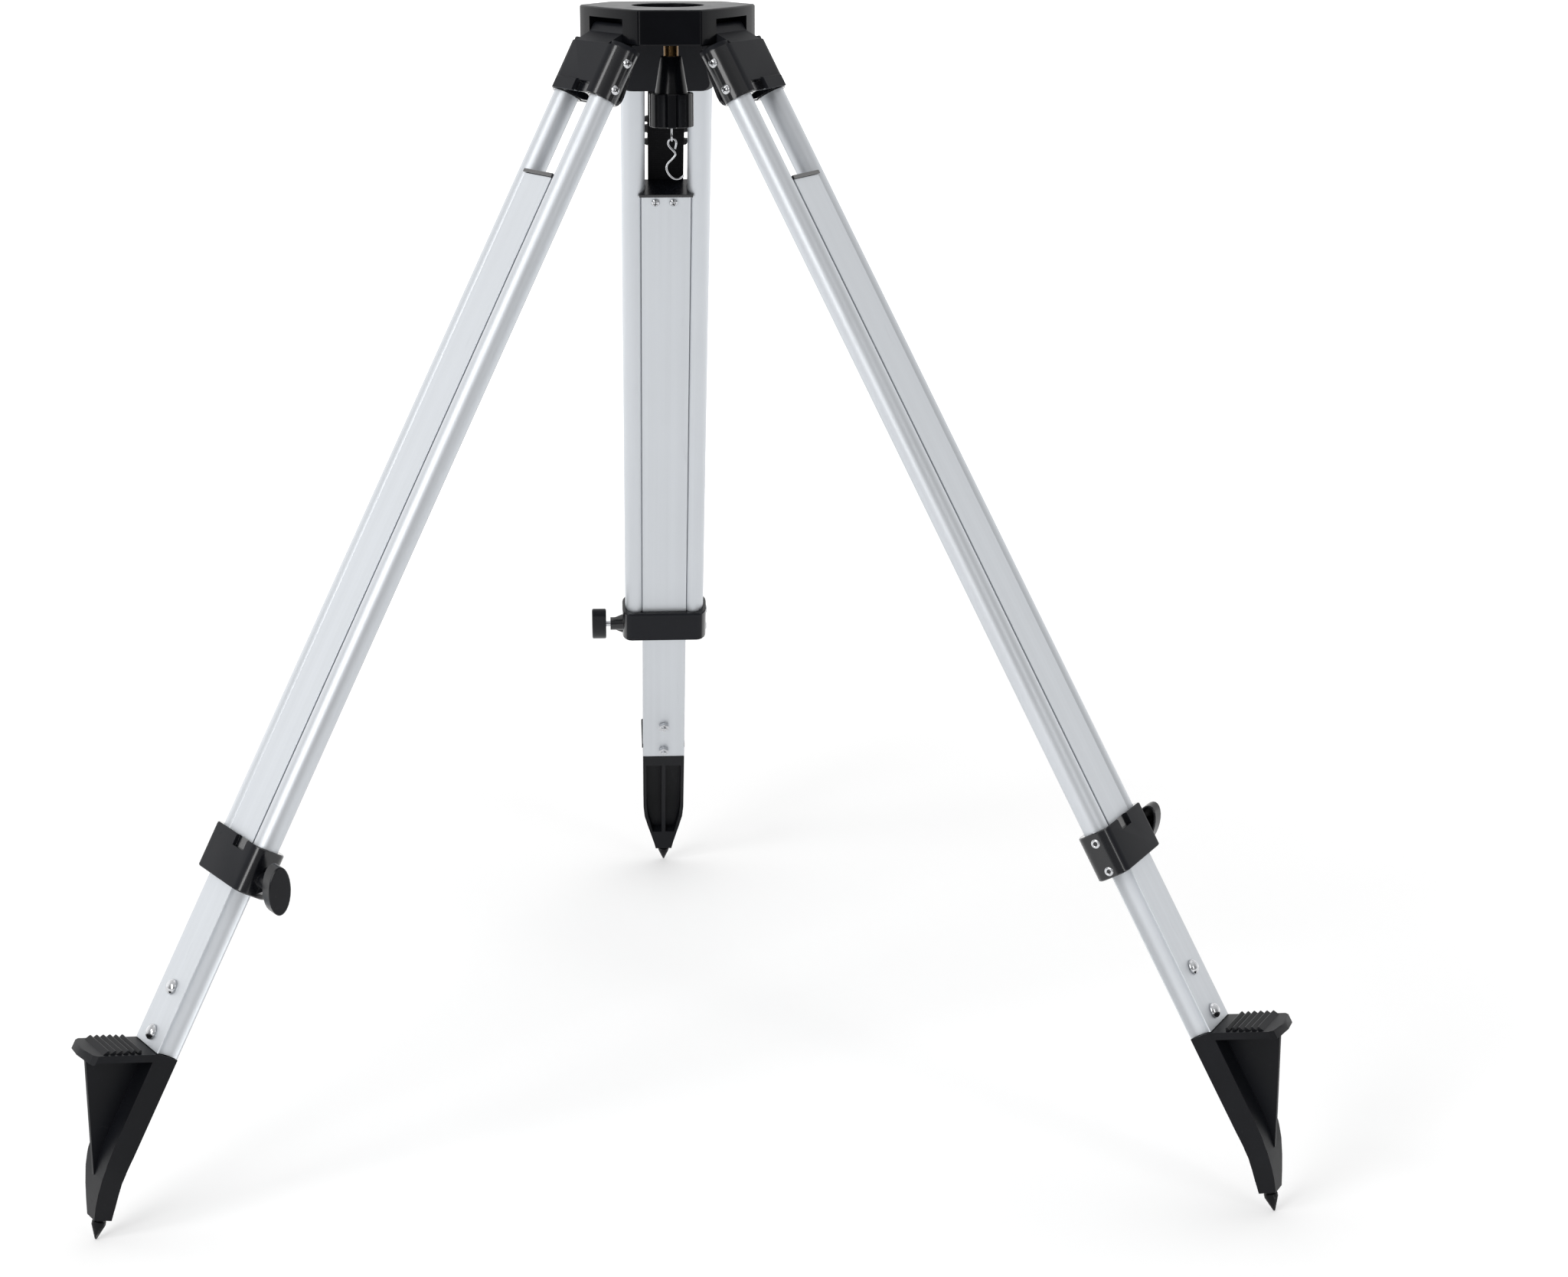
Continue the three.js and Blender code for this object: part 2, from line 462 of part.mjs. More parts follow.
function footBolt(at) {
  const face = PROFILE.thick + GAP;
  let part = solid(turned([[0, -face - 5.4], [2.2, -face - 5], [2.5, -face - 4.2], [2.5, face], [5.2, face],
    [5.2, face + 1.2], [3.9, face + 3.2], [0, face + 4.3]], 12).rotateX(-Math.PI / 2));
  const nut = circle(4.7, 0, 0, 6);
  part = part.add(alongY(nut, -face - 3.6, -face));
  return part.translate([0, 0, at]);
}

function buckle() {
  const { half, waist, inner, outer, from, to } = BUCKLE;
  let part = alongY(rounded(rectangle(from, to, -half, half), 3), inner, outer);
  for (const [start, end] of BUCKLE_NOTCHES) {
    for (const side of [-1, 1]) {
      const notch = rectangle(start, end, Math.min(side * waist, side * 30), Math.max(side * waist, side * 30));
      part = part.subtract(alongY(rounded(notch, 1.2), inner - 1, outer + 1));
    }
    const slot = rounded(rectangle(start, end, 3 - waist, waist - 3), 1.2);
    part = part.subtract(alongY(slot, inner - 1, outer + 1));
  }
  return part;
}

for (const leg of LEGS) {
  const upper = legPlacing(leg);
  const lower = upper.clone().multiply(new THREE.Matrix4().makeTranslation(0, 0, leg.extension));
  addPart(`hinge_housing_${leg.name}`, hingeHousing(leg), 'plastic', upper);
  for (const [label, side] of [['a', 1], ['b', -1]]) {
    const outside = alongZ(circle(TUBE.radius, side * tubeX, 0), TUBE.from, TUBE.to);
    const inside = alongZ(circle(TUBE.bore, side * tubeX, 0), TUBE.from - 1, TUBE.to + 1);
    addPart(`upper_tube_${label}_${leg.name}`, outside.subtract(inside), 'aluminium', upper);
  }
  addPart(`clamp_collar_${leg.name}`, collar(leg.notchAt), 'plastic', upper);
  const screwRod = alongX(circle(CLAMP.screw, CLAMP.behind, CLAMP.at, 14), COLLAR.half - 2, CLAMP.knobTo - 4.4);
  addPart(`clamp_screw_${leg.name}`, screwRod, 'steel', upper);
  addPart(`clamp_knob_${leg.name}`, clampKnob(leg.knobTurn), 'plastic', upper);
  addPart(`lower_profile_${leg.name}`, lowerProfile(), 'aluminium', lower);
  addPart(`top_cap_${leg.name}`, topCap(), 'plastic', lower);
  addPart(`foot_shoe_${leg.name}`, shoe(), 'plastic', lower);
  addPart(`foot_spike_${leg.name}`, solid(spikeForm()), 'black_metal', lower);
  BOLTS.forEach((at, index) => {
    addPart(`foot_bolt_${index + 1}_${leg.name}`, footBolt(at), 'steel', lower);
  });
  if (leg.strap) {
    const { half, inner, outer, from, to } = STRAP;
    addPart('strap_webbing', box(-half, half, inner, outer, from, to), 'webbing', upper);
    addPart('strap_buckle', buckle(), 'plastic', upper);
  }
}

// The footprint is centred on the origin and the lowest spike stands on z = 0.
tripod.updateMatrixWorld(true);
const bounds = new THREE.Box3().setFromObject(tripod);
const middle = bounds.getCenter(new THREE.Vector3());
tripod.children.forEach((mesh) => mesh.geometry.translate(-middle.x, -middle.y, -bounds.min.z));

export default tripod;
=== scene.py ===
import json
import math

import bmesh
import bpy
from mathutils import Matrix, Vector


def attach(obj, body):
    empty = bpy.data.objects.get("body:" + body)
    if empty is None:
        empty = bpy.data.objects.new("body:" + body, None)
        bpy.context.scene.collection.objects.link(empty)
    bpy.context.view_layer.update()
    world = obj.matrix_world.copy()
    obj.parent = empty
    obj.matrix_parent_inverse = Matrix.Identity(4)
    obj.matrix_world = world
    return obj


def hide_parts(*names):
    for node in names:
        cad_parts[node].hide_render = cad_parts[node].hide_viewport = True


bl_info = {
    "name": "Surveyor Tripod",
    "version": (1, 0, 0),
    "blender": (4, 5, 0),
    "location": "3D View > Sidebar > Tripod",
    "description": "Finishes a twin-tube surveyor tripod on its packed frame and lights it",
    "category": "Add Mesh",
}

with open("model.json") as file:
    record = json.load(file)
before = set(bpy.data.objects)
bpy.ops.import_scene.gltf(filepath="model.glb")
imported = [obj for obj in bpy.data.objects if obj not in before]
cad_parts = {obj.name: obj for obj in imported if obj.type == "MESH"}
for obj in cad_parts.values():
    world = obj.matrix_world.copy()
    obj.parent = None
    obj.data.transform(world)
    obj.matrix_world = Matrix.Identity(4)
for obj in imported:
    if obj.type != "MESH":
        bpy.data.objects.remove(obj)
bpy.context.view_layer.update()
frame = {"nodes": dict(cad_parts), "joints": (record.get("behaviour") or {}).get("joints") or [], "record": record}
JOINTS = {joint["name"]: joint for joint in frame["joints"]}
BODIES = frame["record"]["behaviour"]["bodies"]
BODY_OF = {node: body for body, nodes in BODIES.items() for node in nodes}
LEGS = ("rear", "left", "right")
MM = 0.001
PLACE = "place_on_leg"
# Point attribute marking where painted shade darkens fastener recesses and bores.
PAINTED_RECESS_SHADE = "recess"
HOUSING_SCREW_ROWS = (28.0 * MM, 52.8 * MM)  # down the leg from the hinge
HOUSING_SCREW_INWARD = 0.4 * MM
RIVET_ROWS = (764.8 * MM, 790.9 * MM)
RIVET_OUTWARD = 0.8 * MM
CAP_SCREW_PLACES = (-6.9 * MM, 9.95 * MM)  # across the profile
CAP_SCREW_DEPTH = 6.6 * MM
TREAD_RIBS = (22.0 * MM, 27.5 * MM)  # outward from the leg
TREAD_START = 9.0 * MM
TREAD_DEPTH = 65.2 * MM
TREAD_SLOPE = 0.325
RIB_LENGTH_SPARE = 6.0 * MM  # narrower than the shoe by this much
RIB_WIDTH = 4.0 * MM
RIB_HEIGHT = 3.4 * MM
SEATED = 0.15 * MM  # how far a fastener sits into or off its face
WEBBING_CUTS = 24
LIGHTS = {  # place, width and height, and share of the key light's power
    "key_light": ((-2.7, -2.3, 3.0), (1.1, 1.5), 1.0),
    "overhead_light": ((0.4, 0.8, 3.4), (2.6, 2.2), 0.36),
    "left_strip": ((-2.0, -3.3, 1.6), (1.2, 2.2), 1.5),
    "right_strip": ((2.3, -3.1, 1.6), (0.5, 2.2), 0.45),
}
LIT_MIDDLE = 0.5  # metres below the hinges


# ---- places -----------------------------------------------------------------------------------
def leg_matrix(leg):
    """Leg axes at the hinge pin: x across the leg, y outward from its face, z down its length."""
    spread = JOINTS[f"{leg}_leg_spread"]
    down = Vector(JOINTS[f"{leg}_leg_extend"]["axis"]).normalized()
    across = Vector(spread["axis"]).normalized()
    outward = down.cross(across)
    place = Matrix((across, outward, down)).transposed().to_4x4()
    place.translation = Vector(spread["pos_m"])
    return place


def extent(node, place):
    """Lowest and highest corner of a CAD part, measured along the axes of a place."""
    back = place.inverted()
    points = [back @ vertex.co for vertex in frame["nodes"][node].data.vertices]
    low = Vector([min(point[axis] for point in points) for axis in range(3)])
    high = Vector([max(point[axis] for point in points) for axis in range(3)])
    return low, high


def head_axis():
    """The middle of the three hinges, on the vertical axis of the head."""
    return sum((leg_matrix(leg).translation for leg in LEGS), Vector()) / len(LEGS)


def leg_of(node):
    """The leg that a part belongs to, or None for a part of the head."""
    for leg in LEGS:
        if node.endswith(leg) or (leg == "rear" and node.startswith("strap_")):
            return leg
    return None


def turned_to(axis, point):
    """A placing that lays a model's z axis along an axis and stands it on a point."""
    place = Vector(axis).to_track_quat("Z", "Y").to_matrix().to_4x4()
    place.translation = Vector(point)
    return place


# ---- modelling --------------------------------------------------------------------------------
def alone(piece):
    """Leaves this piece as the only one selected, and active."""
    if bpy.context.mode != "OBJECT":
        bpy.ops.object.mode_set(mode="OBJECT")
    bpy.ops.object.select_all(action="DESELECT")
    piece.hide_viewport = False
    piece.select_set(True)
    bpy.context.view_layer.objects.active = piece


def pick(piece, test):
    """Selects in edit mode only the faces that pass a test of their middle and normal."""
    if bpy.context.mode != "EDIT_MESH":
        bpy.ops.object.mode_set(mode="EDIT")
    bpy.ops.mesh.select_mode(type="FACE")
    bpy.ops.mesh.select_all(action="DESELECT")
    shape = bmesh.from_edit_mesh(piece.data)
    shape.faces.ensure_lookup_table()
    for face in shape.faces:
        face.select_set(bool(test(face.calc_center_median(), face.normal)))
    shape.select_flush_mode()
    bmesh.update_edit_mesh(piece.data)


def leave_edit():
    """Goes back to object mode."""
    if bpy.context.mode != "OBJECT":
        bpy.ops.object.mode_set(mode="OBJECT")


def apply_transform(piece):
    """Puts a piece's place into its mesh."""
    alone(piece)
    bpy.ops.object.transform_apply(location=True, rotation=True, scale=True)


def modify(piece, kind, **settings):
    """Adds one modifier with its settings and applies it."""
    alone(piece)
    modifier = piece.modifiers.new(kind.lower(), kind)
    for name, value in settings.items():
        setattr(modifier, name, value)
    bpy.ops.object.modifier_apply(modifier=modifier.name)


def smooth(piece, degrees):
    """Shades a piece smooth, with sharp edges past an angle."""
    alone(piece)
    bpy.ops.object.shade_smooth_by_angle(angle=math.radians(degrees))


def round_edges(piece, width, segments=2, limit=31.0, crease=38.0):
    """Rounds the hard edges of a piece and keeps its flats flat."""
    smooth(piece, crease)
    modify(
        piece,
        "BEVEL",
        width=width,
        segments=segments,
        limit_method="ANGLE",
        angle_limit=math.radians(limit),
        harden_normals=True,
        miter_outer="MITER_ARC",
    )


def copy_of_part(node, name, join_flats=True):
    """A welded copy of a CAD part's mesh, with its flat triangles joined into faces."""
    piece = bpy.data.objects.new(name, frame["nodes"][node].data.copy())
    bpy.context.scene.collection.objects.link(piece)
    piece.data.materials.clear()
    alone(piece)
    bpy.ops.mesh.customdata_custom_splitnormals_clear()
    bpy.ops.object.mode_set(mode="EDIT")
    bpy.ops.mesh.select_all(action="SELECT")
    bpy.ops.mesh.remove_doubles(threshold=0.000004)
    if join_flats:
        bpy.ops.mesh.dissolve_limited(angle_limit=math.radians(0.6))
    leave_edit()
    return piece


def finish_piece(piece, body, finish, leg=None, replaced=()):
    """Gives a finished mesh its material, its place along its leg, and the body it moves with."""
    leave_edit()
    piece.data.materials.clear()
    piece.data.materials.append(finish)
    place = leg_matrix(leg) if leg else Matrix.Translation(head_axis())
    back = place.inverted()
    held = piece.data.attributes.new(PLACE, "FLOAT_VECTOR", "POINT")
    values = [number for vertex in piece.data.vertices for number in back @ vertex.co]
    held.data.foreach_set("vector", values)
    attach(piece, body)
    if replaced:
        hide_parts(*replaced)
    return piece


def refine(node, finish, width, segments=2, limit=31.0, crease=38.0):
    """A CAD part's own shape with rounded edges and its real finish."""
    piece = copy_of_part(node, f"{node}_finished")
    round_edges(piece, width, segments, limit, crease)
    return finish_piece(piece, BODY_OF[node], finish, leg_of(node), [node])


def placed_copy(model, name, place):
    """A copy of a model with its own mesh, set down at a place."""
    piece = bpy.data.objects.new(name, model.data.copy())
    bpy.context.scene.collection.objects.link(piece)
    piece.matrix_world = place
    apply_transform(piece)
    return piece


def discard(model):
    """Removes a model once its copies are made."""
    bpy.data.objects.remove(model)


# ---- shader expressions -----------------------------------------------------------------------
class Signal:
    """A shader value that works in sums like a number."""

    def __init__(self, nodes, socket):
        self.nodes = nodes
        self.socket = socket

    def _math(self, operation, first, second=0.0):
        return self.nodes.node("Math", {"operation": operation}, {0: first, 1: second})

    def __add__(self, other):
        return self._math("ADD", self, other)

    def __radd__(self, other):
        return self._math("ADD", other, self)

    def __sub__(self, other):
        return self._math("SUBTRACT", self, other)

    def __rsub__(self, other):
        return self._math("SUBTRACT", other, self)

    def __mul__(self, other):
        return self._math("MULTIPLY", self, other)

    def __rmul__(self, other):
        return self._math("MULTIPLY", other, self)

    def __pow__(self, other):
        return self._math("POWER", self, other)

    def size(self):
        return self._math("ABSOLUTE", self)

    def wave(self):
        return self._math("SINE", self)

    def floor_at(self, other):
        return self._math("MAXIMUM", self, other)

    def ramp(self, low, high, start=0.0, end=1.0):
        """Goes smoothly from start to end as the value goes from low to high."""
        values = {"Value": self, "From Min": low, "From Max": high, "To Min": start, "To Max": end}
        return self.nodes.node("MapRange", {"interpolation_type": "SMOOTHSTEP"}, values)


class Nodes:
    """A shader tree in the making."""

    def __init__(self, owner):
        owner.use_nodes = True
        self.tree = owner.node_tree
        self.tree.nodes.clear()

    def node(self, kind, settings=None, values=None, output=0):
        """Adds a node, sets it, and links or fills its inputs."""
        made = self.tree.nodes.new(f"ShaderNode{kind}")
        for name, value in (settings or {}).items():
            setattr(made, name, value)
        for name, value in (values or {}).items():
            if isinstance(value, Signal):
                self.tree.links.new(value.socket, made.inputs[name])
            else:
                made.inputs[name].default_value = value
        return Signal(self, made.outputs[output])

    def parts(self, vector):
        """A vector's three numbers."""
        split = self.node("SeparateXYZ", values={0: vector}).socket.node
        return [Signal(self, output) for output in split.outputs]

    def noise(self, vector, scale, stretch=(1.0, 1.0, 1.0), detail=3.0, roughness=0.5):
        """Noise from 0 to 1 on a stretched pattern."""
        spread = self.node("Mapping", values={"Vector": vector, "Scale": stretch})
        values = {"Vector": spread, "Scale": scale, "Detail": detail, "Roughness": roughness}
        return self.node("TexNoise", values=values, output="Fac")

    def mix(self, factor, first, second):
        """A colour between two."""
        made = self.tree.nodes.new("ShaderNodeMix")
        made.data_type = "RGBA"
        for index, value in ((0, factor), (6, first), (7, second)):
            socket = made.inputs[index]
            if isinstance(value, Signal):
                self.tree.links.new(value.socket, socket)
            else:
                socket.default_value = value
        return Signal(self, made.outputs[2])


class Finish(Nodes):
    """A node material in the making."""

    def __init__(self, name):
        self.material = bpy.data.materials.new(name)
        super().__init__(self.material)

    def place(self):
        """Metres across, outward from and down the leg, or from the head's axis."""
        return self.node("Attribute", {"attribute_name": PLACE}, output="Vector")

    def bump(self, height, depth, strength=1.0):
        """A normal from a height of 0 to 1, as deep as given in metres."""
        values = {"Height": height, "Distance": depth, "Strength": strength}
        return self.node("Bump", values=values, output="Normal")

    def surface(self, values, uniform=None):
        """Ends the material with one principled shader."""
        made = self.node("BsdfPrincipled", values={**(uniform or {}), **values}, output="BSDF")
        output = self.tree.nodes.new("ShaderNodeOutputMaterial")
        self.tree.links.new(made.socket, output.inputs["Surface"])
        return self.material


def rgba(colour, level=1.0):
    return (colour[0] * level, colour[1] * level, colour[2] * level, 1.0)


def anodised_aluminium(name, colour, polish):
    """Satin anodised aluminium with die lines down its length, soft blotches and marks."""
    finish = Finish(name)
    place = finish.place()
    lines = finish.noise(place, 1500.0, (1.0, 1.0, 0.004), 2.0)
    bands = finish.noise(place, 160.0, (1.0, 1.0, 0.01), 2.0)
    cloud = finish.noise(place, 14.0, (1.0, 1.0, 0.5), 3.0)
    grain = finish.noise(place, 5200.0, (1.0, 1.0, 1.0), 1.0)
    marks = finish.noise(place, 90.0, (1.0, 1.0, 0.12), 6.0, 0.72).ramp(0.63, 0.72)
    tone = (0.45 * cloud + 0.35 * bands + 0.2 * grain).ramp(0.3, 0.7)
    base = finish.mix(tone, rgba(colour, 0.93), rgba(colour, 1.0))
    base = finish.mix(marks * 0.16, base, rgba(colour, 0.8))
    rough = polish + 0.1 * cloud + 0.06 * lines - 0.04 + 0.06 * marks
    height = 0.6 * lines + 0.3 * grain + 0.1 * bands
    normal = finish.bump(height, 0.00003, 0.5)
    values = {"Base Color": base, "Roughness": rough, "Normal": normal}
    return finish.surface(values, {"Metallic": 0.88})


def moulded_black(
    name, colour, gloss, ior, grain_size=900.0, grain_depth=0.00004, matte_faces=False
):
    """Black moulded plastic: glossy sides, spark-textured flats, faint flow shading and scuffs."""
    finish = Finish(name)
    place = finish.place()
    _, outward, along = finish.parts(place)
    grain = finish.noise(place, grain_size, (1.0, 1.0, 1.0), 4.0, 0.6)
    flow = finish.noise(place, 22.0, (1.0, 1.0, 0.6), 3.0)
    scuffs = finish.noise(place, 70.0, (1.0, 0.25, 1.0), 7.0, 0.75).ramp(0.62, 0.74)
    dust = finish.noise(place, 260.0, (1.0, 1.0, 1.0), 5.0, 0.7).ramp(0.6, 0.75)
    base = finish.mix(flow.ramp(0.35, 0.65), rgba(colour, 0.82), rgba(colour, 1.18))
    base = finish.mix(scuffs * 0.2, base, rgba(colour, 2.2))
    base = finish.mix(dust * 0.06, base, rgba((0.14, 0.14, 0.15)))
    rough = gloss + 0.12 * flow - 0.06 + 0.14 * scuffs + 0.05 * grain
    normal = finish.bump(grain, grain_depth, 0.5)
    values = {"Base Color": base, "Roughness": rough, "Normal": normal}
    if matte_faces:
        flat = outward.size().ramp(0.0134, 0.0143).floor_at(along.ramp(0.019, 0.017))
        values["Roughness"] = rough + 0.3 * flat
        values["Base Color"] = finish.mix(0.6 * flat, base, rgba(colour, 2.0))
        values["Coat Weight"] = (1.0 - flat) * (0.95 - 0.25 * scuffs)
    return finish.surface(values, {"IOR": ior, "Coat Roughness": 0.17})


def coated_head(name, colour):
    """Black coated casting: orange-peel coat and rubbed rings on the top face. The whole top face is painted
    lighter as a painted reflection of the bright surroundings, and worn spots on it are lighter still.
    """
    finish = Finish(name)
    place = finish.place()
    x, y, z = finish.parts(place)
    radius = (x * x + y * y) ** 0.5
    peel = finish.noise(place, 650.0, (1.0, 1.0, 1.0), 3.0, 0.55)
    cloud = finish.noise(place, 30.0, (1.0, 1.0, 1.0), 4.0)
    rings = (radius * 3600.0 + 5.0 * cloud).wave() * 0.5 + 0.5
    # Mask of the top face. It drives a painted reflection in the colour, and real rubbing in the roughness and
    # rings.
    top_face_sheen_and_wear = z.ramp(0.0188, 0.0194)
    rub = finish.noise(place, 48.0, (1.0, 1.0, 1.0), 7.0, 0.72).ramp(0.5, 0.68)
    base = finish.mix(cloud.ramp(0.3, 0.7), rgba(colour, 0.85), rgba(colour, 1.15))
    # Painted reflection and wear: the whole top face is lightened as a painted reflection of the bright
    # surroundings, and rubbed spots on it more.
    base = finish.mix(top_face_sheen_and_wear * (0.3 + 0.35 * rub), base, rgba((0.16, 0.165, 0.17)))
    rough = 0.2 + 0.1 * cloud + top_face_sheen_and_wear * (0.1 + 0.1 * rub)
    height = 0.75 * peel + top_face_sheen_and_wear * rings * 0.25
    normal = finish.bump(height, 0.00003, 0.45)
    values = {"Base Color": base, "Roughness": rough, "Normal": normal}
    values["Coat Weight"] = 0.05 - 0.04 * top_face_sheen_and_wear
    return finish.surface(values, {"IOR": 1.16, "Coat Roughness": 0.12})


def bright_metal(name, colour, polish):
    """Plated or machined metal with turning marks, small pits and a little tarnish, plus painted shade in screw
    recesses and rivet bores.
    """
    finish = Finish(name)
    place = finish.place()
    turning = finish.noise(place, 2600.0, (1.0, 1.0, 1.0), 2.0)
    stain = finish.noise(place, 210.0, (1.0, 1.0, 1.0), 5.0, 0.65)
    pits = finish.noise(place, 900.0, (1.0, 1.0, 1.0), 6.0, 0.7).ramp(0.66, 0.75)
    base = finish.mix(stain.ramp(0.4, 0.75), rgba(colour, 1.0), rgba(colour, 0.72))
    base = finish.mix(pits * 0.5, base, rgba(colour, 0.35))
    # Painted shade: the marked recesses and bores are painted nearly black.
    recess = finish.node("Attribute", {"attribute_name": PAINTED_RECESS_SHADE}, output="Fac")
    base = finish.mix(recess * 0.93, base, rgba((0.02, 0.02, 0.022)))
    rough = polish + 0.16 * stain.ramp(0.35, 0.8) + 0.1 * pits
    normal = finish.bump(turning - 0.6 * pits, 0.00002, 0.4)
    values = {"Base Color": base, "Roughness": rough, "Normal": normal}
    return finish.surface(values, {"Metallic": 1.0})


def blackened_steel(name, colour):
    """Hard black spike steel with a machined cone and rubbed point."""
    finish = Finish(name)
    place = finish.place()
    grain = finish.noise(place, 800.0, (1.0, 1.0, 0.3), 4.0)
    rubbed = finish.noise(place, 180.0, (1.0, 1.0, 0.5), 6.0, 0.7).ramp(0.55, 0.7)
    base = finish.mix(rubbed * 0.45, rgba(colour), rgba((0.19, 0.19, 0.2)))
    rough = 0.36 + 0.2 * grain - 0.1 * rubbed
    normal = finish.bump(grain, 0.00003, 0.5)
    values = {"Base Color": base, "Roughness": rough, "Normal": normal}
    return finish.surface(values, {"Metallic": 0.7})


def woven_webbing(name, colour):
    """Black woven strap: tight cross ribs, warp columns, a thicker selvedge and stray lint, with painted shade in
    the grooves of the weave and painted sheen on its ribs.
    """
    finish = Finish(name)
    place = finish.place()
    across, _, along = finish.parts(place)
    slack = finish.noise(place, 120.0, (1.0, 1.0, 1.0), 3.0)
    ribs = (along * 4300.0 + 1.1 * slack).wave() * 0.5 + 0.5
    warp = (across * 5200.0 + 0.8 * slack).wave() * 0.5 + 0.5
    fuzz = finish.noise(place, 3200.0, (1.0, 1.0, 1.0), 4.0, 0.7)
    selvedge = across.size().ramp(0.0132, 0.0146)
    weave = (0.7 * ribs + 0.3 * warp) * (1.0 - 0.4 * selvedge) + 0.25 * selvedge
    # Painted shade and sheen: the colour follows the weave's relief, darker in its grooves and lighter on its
    # ribs.
    base = finish.mix(weave, rgba(colour, 0.45), rgba(colour, 1.5))
    base = finish.mix(fuzz.ramp(0.6, 0.75) * 0.22, base, rgba((0.05, 0.05, 0.055)))
    rough = 0.86 - 0.16 * weave
    normal = finish.bump(weave + 0.18 * fuzz, 0.00028, 0.8)
    values = {"Base Color": base, "Roughness": rough, "Normal": normal}
    return finish.surface(values, {"Specular IOR Level": 0.12})


def studio_floor(name, colour):
    """Pale matt floor with a very faint mottle. It is made dark in front of the tripod as painted shade for the
    parts to reflect, and it gives off painted light of its own, dim near the tripod and stronger far from it.
    """
    finish = Finish(name)
    place = finish.node("TexCoord", output="Object")
    x, y, _ = finish.parts(place)
    reach = (x * x + y * y) ** 0.5
    mottle = finish.noise(place, 3.0, (1.0, 1.0, 1.0), 4.0)
    base = finish.mix(mottle.ramp(0.3, 0.7), rgba(colour, 0.992), rgba(colour, 1.0))
    # Painted shade: the floor in front of the tripod, between it and the camera, is dark in colour and in the
    # light it gives off, so that the parts reflect a dark front.
    front = y.ramp(-1.3, -2.3)
    base = finish.mix(front, base, rgba(colour, 0.22))
    # Painted light: the floor gives off light of its own, dim near the tripod and stronger far from it, so it
    # reads white all over while shadows near the feet still show.
    far = reach.ramp(0.6, 3.2) * (1.0 - front)
    painted_floor_glow = finish.mix(far, rgba((0.16, 0.16, 0.16)), rgba((0.7, 0.7, 0.7)))
    painted_floor_glow = finish.mix(front, painted_floor_glow, rgba((0.02, 0.02, 0.02)))
    rough = 0.78 + 0.06 * mottle
    values = {"Base Color": base, "Roughness": rough, "Emission Color": painted_floor_glow}
    return finish.surface(values, {"Specular IOR Level": 0.1, "Emission Strength": 1.0})


MADE = {}


def finish_named(name):
    """The named finish, made once from the colours in the sidebar."""
    if name in MADE:
        return MADE[name]
    colours = bpy.context.scene.tripod_finish
    polish = colours.tube_roughness
    black = colours.plastic
    matte = {"matte_faces": True}
    makers = {
        "tube": lambda: anodised_aluminium("anodised_tube", colours.aluminium, polish),
        "profile": lambda: anodised_aluminium("anodised_profile", colours.aluminium, polish + 0.02),
        "head": lambda: coated_head("coated_head", colours.head),
        "plastic": lambda: moulded_black("moulded_black_plastic", black, 0.24, 1.24, **matte),
        "shoe": lambda: moulded_black("moulded_foot", black, 0.42, 1.26, 700.0, 0.00006),
        "knob": lambda: moulded_black("moulded_knob", black, 0.22, 1.32, 800.0, 0.00003),
        "steel": lambda: bright_metal("plated_steel", colours.steel, 0.16),
        "brass": lambda: bright_metal("turned_brass", colours.brass, 0.24),
        "spike": lambda: blackened_steel("blackened_spike", colours.head),
        "webbing": lambda: woven_webbing("woven_webbing", colours.webbing),
    }
    MADE[name] = makers[name]()
    return MADE[name]


# ---- settings ---------------------------------------------------------------------------------
class TripodFinish(bpy.types.PropertyGroup):
    """Colours of the tripod's finishes"""

    aluminium: bpy.props.FloatVectorProperty(
        name="Aluminium",
        description="Colour of the anodised tubes and profiles",
        subtype="COLOR",
        min=0.0,
        max=1.0,
        default=(0.66, 0.685, 0.715),
    )
    tube_roughness: bpy.props.FloatProperty(
        name="Tube roughness",
        description="How satin the anodised tubes are",
        subtype="FACTOR",
        min=0.05,
        max=0.9,
        default=0.46,
    )
    head: bpy.props.FloatVectorProperty(
        name="Head coat",
        description="Colour of the coated head and spikes",
        subtype="COLOR",
        min=0.0,
        max=1.0,
        default=(0.0035, 0.0038, 0.005),
    )
    plastic: bpy.props.FloatVectorProperty(
        name="Plastic",
        description="Colour of the moulded housings, collars, knobs and shoes",
        subtype="COLOR",
        min=0.0,
        max=1.0,
        default=(0.0045, 0.005, 0.0068),
    )
    steel: bpy.props.FloatVectorProperty(
        name="Steel",
        description="Colour of the plated screws, bolts and hook",
        subtype="COLOR",
        min=0.0,
        max=1.0,
        default=(0.62, 0.63, 0.65),
    )
    brass: bpy.props.FloatVectorProperty(
        name="Brass",
        description="Colour of the instrument screw's thread",
        subtype="COLOR",
        min=0.0,
        max=1.0,
        default=(0.15, 0.088, 0.036),
    )
    webbing: bpy.props.FloatVectorProperty(
        name="Webbing",
        description="Colour of the woven strap",
        subtype="COLOR",
        min=0.0,
        max=1.0,
        default=(0.0035, 0.0035, 0.0042),
    )


